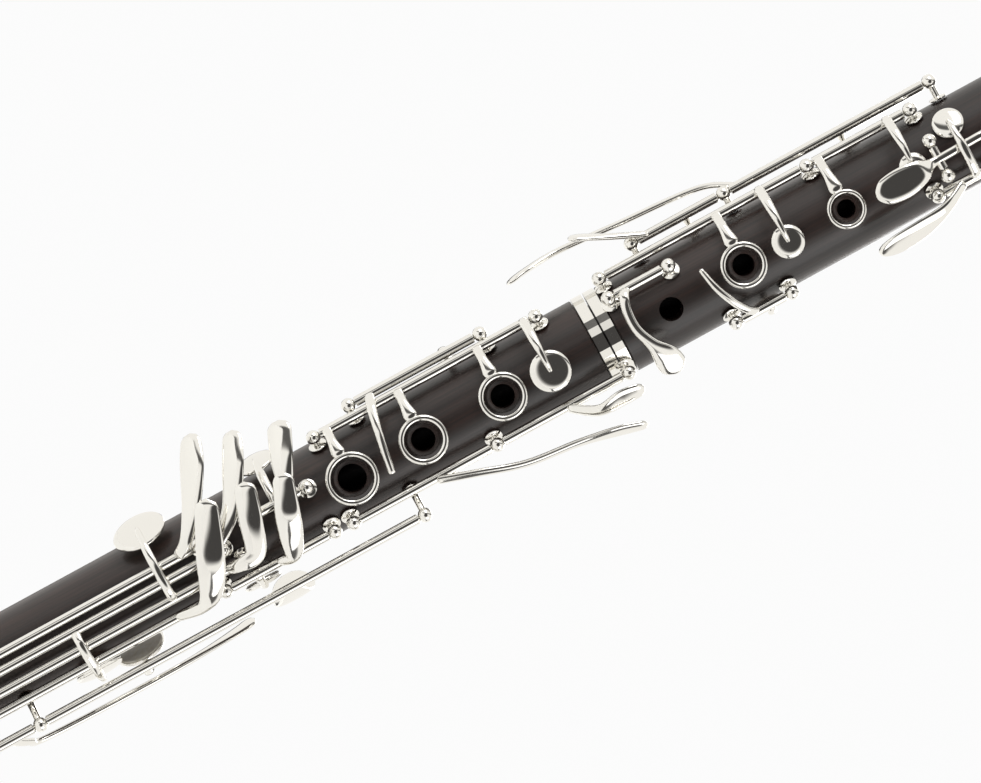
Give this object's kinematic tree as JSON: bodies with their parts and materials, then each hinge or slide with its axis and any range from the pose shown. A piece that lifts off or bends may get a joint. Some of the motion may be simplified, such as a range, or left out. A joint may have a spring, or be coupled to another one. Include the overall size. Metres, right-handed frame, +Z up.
{
  "type": "basset_clarinet",
  "caption": "A basset clarinet in dark grenadilla with silver keys, its low extension, mouthpiece with reed and ligature, standing on its bell.",
  "frame": {"origin": "centre of the bell's rim", "axes": "+Z up along the bore, -Y front with the finger holes, +X the player's left"},
  "size_m": [0.0822, 0.0822, 0.852],
  "materials": {
    "grenadilla": "oiled",
    "silver": "polished plate",
    "steel": "polished",
    "ebonite": "polished",
    "cane": "raw",
    "cork": "greased"
  },
  "bodies": {
    "body": {"bell": "grenadilla", "lower_joint": "grenadilla", "upper_joint": "grenadilla", "barrel": "grenadilla", "bell_socket_ring": "silver", "bell_rim_ring": "silver", "lower_joint_ring": "silver", "upper_joint_ring": "silver", "barrel_lower_ring": "silver", "barrel_upper_ring": "silver", "ligature": "silver", "ligature_lower_screw": "silver", "ligature_upper_screw": "silver", "thumb_rest": "silver", "right_ring_key_rod": "steel", "banana_key_rod": "steel", "upper_stack_rod": "steel", "c_sharp_key_rod": "steel", "sliver_key_rod": "steel", "throat_g_sharp_rod": "steel", "side_key_rod": "steel", "low_e_key_rod": "steel", "low_f_key_rod": "steel", "low_d_key_rod": "steel", "low_e_flat_rod": "steel", "a_flat_key_rod": "steel", "thumb_key_rod": "steel", "left_lever_rod": "steel", "throat_a_rod": "steel", "register_rod": "steel", "mouthpiece": "ebonite", "reed": "cane", "middle_tenon_cork": "cork"},
    "right_ring_key": {"right_ring_key": "silver"},
    "banana_key": {"banana_key": "silver"},
    "second_ring_key": {"second_ring_key": "silver"},
    "first_ring_key": {"first_ring_key": "silver"},
    "c_sharp_key": {"c_sharp_key": "silver"},
    "sliver_key": {"sliver_key": "silver"},
    "throat_g_sharp_key": {"throat_g_sharp_key": "silver"},
    "side_key_lower": {"side_key_lower": "silver"},
    "side_key_upper": {"side_key_upper": "silver"},
    "low_e_key": {"low_e_key": "silver"},
    "low_f_key": {"low_f_key": "silver"},
    "low_d_key": {"low_d_key": "silver"},
    "low_e_flat_key": {"low_e_flat_key": "silver"},
    "f_sharp_key": {"f_sharp_key": "silver"},
    "a_flat_key": {"a_flat_key": "silver"},
    "low_c_sharp_key": {"low_c_sharp_key": "silver"},
    "low_c_key": {"low_c_key": "silver"},
    "left_lever_low": {"left_lever_low": "silver"},
    "left_lever_high": {"left_lever_high": "silver"},
    "throat_a_key": {"throat_a_key": "silver"},
    "register_key": {"register_key": "silver"}
  },
  "joints": [
    {"name": "right_ring_key_hinge", "type": "hinge", "parent": "body", "child": "right_ring_key", "pos_m": [-0.0146, -0.00983, 0.44765], "axis": [0, 0, 1], "range_deg": [0, 5], "stiffness_Nm_per_rad": 0.03, "springref_deg": -8.59},
    {"name": "banana_key_hinge", "type": "hinge", "parent": "body", "child": "banana_key", "pos_m": [-0.018, -0.00776, 0.446], "axis": [0, 0, 1], "range_deg": [0, 5], "stiffness_Nm_per_rad": 0.03, "springref_deg": -8.59},
    {"name": "second_ring_key_hinge", "type": "hinge", "parent": "body", "child": "second_ring_key", "pos_m": [-0.0153, -0.0087, 0.54125], "axis": [0, 0, 1], "range_deg": [0, 5], "stiffness_Nm_per_rad": 0.03, "springref_deg": -8.59},
    {"name": "first_ring_key_hinge", "type": "hinge", "parent": "body", "child": "first_ring_key", "pos_m": [-0.0153, -0.0087, 0.59325], "axis": [0, 0, 1], "range_deg": [0, 3], "stiffness_Nm_per_rad": 0.03, "springref_deg": -8.59},
    {"name": "c_sharp_key_hinge", "type": "hinge", "parent": "body", "child": "c_sharp_key", "pos_m": [-0.009, -0.01512, 0.516], "axis": [0, 0, 1], "range_deg": [0, 5], "stiffness_Nm_per_rad": 0.03, "springref_deg": -8.59},
    {"name": "sliver_key_hinge", "type": "hinge", "parent": "body", "child": "sliver_key", "pos_m": [0.0152, -0.00887, 0.54515], "axis": [0, 0, -1], "range_deg": [0, 5], "stiffness_Nm_per_rad": 0.03, "springref_deg": -8.59},
    {"name": "throat_g_sharp_key_hinge", "type": "hinge", "parent": "body", "child": "throat_g_sharp_key", "pos_m": [0.0109, -0.01382, 0.61465], "axis": [0, 0, 1], "range_deg": [0, 6], "stiffness_Nm_per_rad": 0.03, "springref_deg": -8.59},
    {"name": "side_key_lower_hinge", "type": "hinge", "parent": "body", "child": "side_key_lower", "pos_m": [-0.02, -0.00283, 0.5355], "axis": [0, 0, 1], "range_deg": [0, 6], "stiffness_Nm_per_rad": 0.03, "springref_deg": -8.59},
    {"name": "side_key_upper_hinge", "type": "hinge", "parent": "body", "child": "side_key_upper", "pos_m": [-0.02, -0.00283, 0.5855], "axis": [0, 0, 1], "range_deg": [0, 6], "stiffness_Nm_per_rad": 0.03, "springref_deg": -8.59},
    {"name": "low_e_key_hinge", "type": "hinge", "parent": "body", "child": "low_e_key", "pos_m": [0.0073, -0.01602, 0.291], "axis": [0, 0, -1], "range_deg": [0, 5], "stiffness_Nm_per_rad": 0.03, "springref_deg": -8.59},
    {"name": "low_f_key_hinge", "type": "hinge", "parent": "body", "child": "low_f_key", "pos_m": [0.0017, -0.01752, 0.257], "axis": [0, 0, -1], "range_deg": [0, 5], "stiffness_Nm_per_rad": 0.03, "springref_deg": -8.59},
    {"name": "low_d_key_hinge", "type": "hinge", "parent": "body", "child": "low_d_key", "pos_m": [-0.0028, -0.01738, 0.258], "axis": [0, 0, -1], "range_deg": [0, 5], "stiffness_Nm_per_rad": 0.03, "springref_deg": -8.59},
    {"name": "low_e_flat_key_hinge", "type": "hinge", "parent": "body", "child": "low_e_flat_key", "pos_m": [0.0126, -0.01229, 0.27925], "axis": [0, 0, -1], "range_deg": [0, 5], "stiffness_Nm_per_rad": 0.03, "springref_deg": -8.59},
    {"name": "f_sharp_key_hinge", "type": "hinge", "parent": "body", "child": "f_sharp_key", "pos_m": [0.0126, -0.01229, 0.38475], "axis": [0, 0, -1], "range_deg": [0, 5], "stiffness_Nm_per_rad": 0.03, "springref_deg": -8.59},
    {"name": "a_flat_key_hinge", "type": "hinge", "parent": "body", "child": "a_flat_key", "pos_m": [-0.0028, -0.01738, 0.392], "axis": [0, 0, -1], "range_deg": [0, 5], "stiffness_Nm_per_rad": 0.03, "springref_deg": -8.59},
    {"name": "low_c_sharp_key_hinge", "type": "hinge", "parent": "body", "child": "low_c_sharp_key", "pos_m": [0.021, -0.01203, 0.36425], "axis": [0, 0, 1], "range_deg": [0, 4], "stiffness_Nm_per_rad": 0.03, "springref_deg": -8.59},
    {"name": "low_c_key_hinge", "type": "hinge", "parent": "body", "child": "low_c_key", "pos_m": [0.021, -0.01203, 0.21], "axis": [0, 0, 1], "range_deg": [0, 4], "stiffness_Nm_per_rad": 0.03, "springref_deg": -8.59},
    {"name": "left_lever_low_hinge", "type": "hinge", "parent": "body", "child": "left_lever_low", "pos_m": [0.013, -0.01186, 0.433], "axis": [0, 0, 1], "range_deg": [0, 5], "stiffness_Nm_per_rad": 0.03, "springref_deg": -8.59},
    {"name": "left_lever_high_hinge", "type": "hinge", "parent": "body", "child": "left_lever_high", "pos_m": [0.013, -0.01186, 0.479], "axis": [0, 0, 1], "range_deg": [0, 5], "stiffness_Nm_per_rad": 0.03, "springref_deg": -8.59},
    {"name": "throat_a_key_hinge", "type": "hinge", "parent": "body", "child": "throat_a_key", "pos_m": [0, -0.0178, 0.6103], "axis": [1, 0, 0], "range_deg": [0, 3.5], "stiffness_Nm_per_rad": 0.03, "springref_deg": -8.59},
    {"name": "register_key_hinge", "type": "hinge", "parent": "body", "child": "register_key", "pos_m": [0, 0.0178, 0.69], "axis": [-1, 0, 0], "range_deg": [0, 5], "stiffness_Nm_per_rad": 0.03, "springref_deg": -8.59}
  ],
  "couplings": [
    {"joint": "left_lever_low_hinge", "follows": "low_e_key_hinge", "ratio": 1},
    {"joint": "left_lever_high_hinge", "follows": "f_sharp_key_hinge", "ratio": 1}
  ]
}
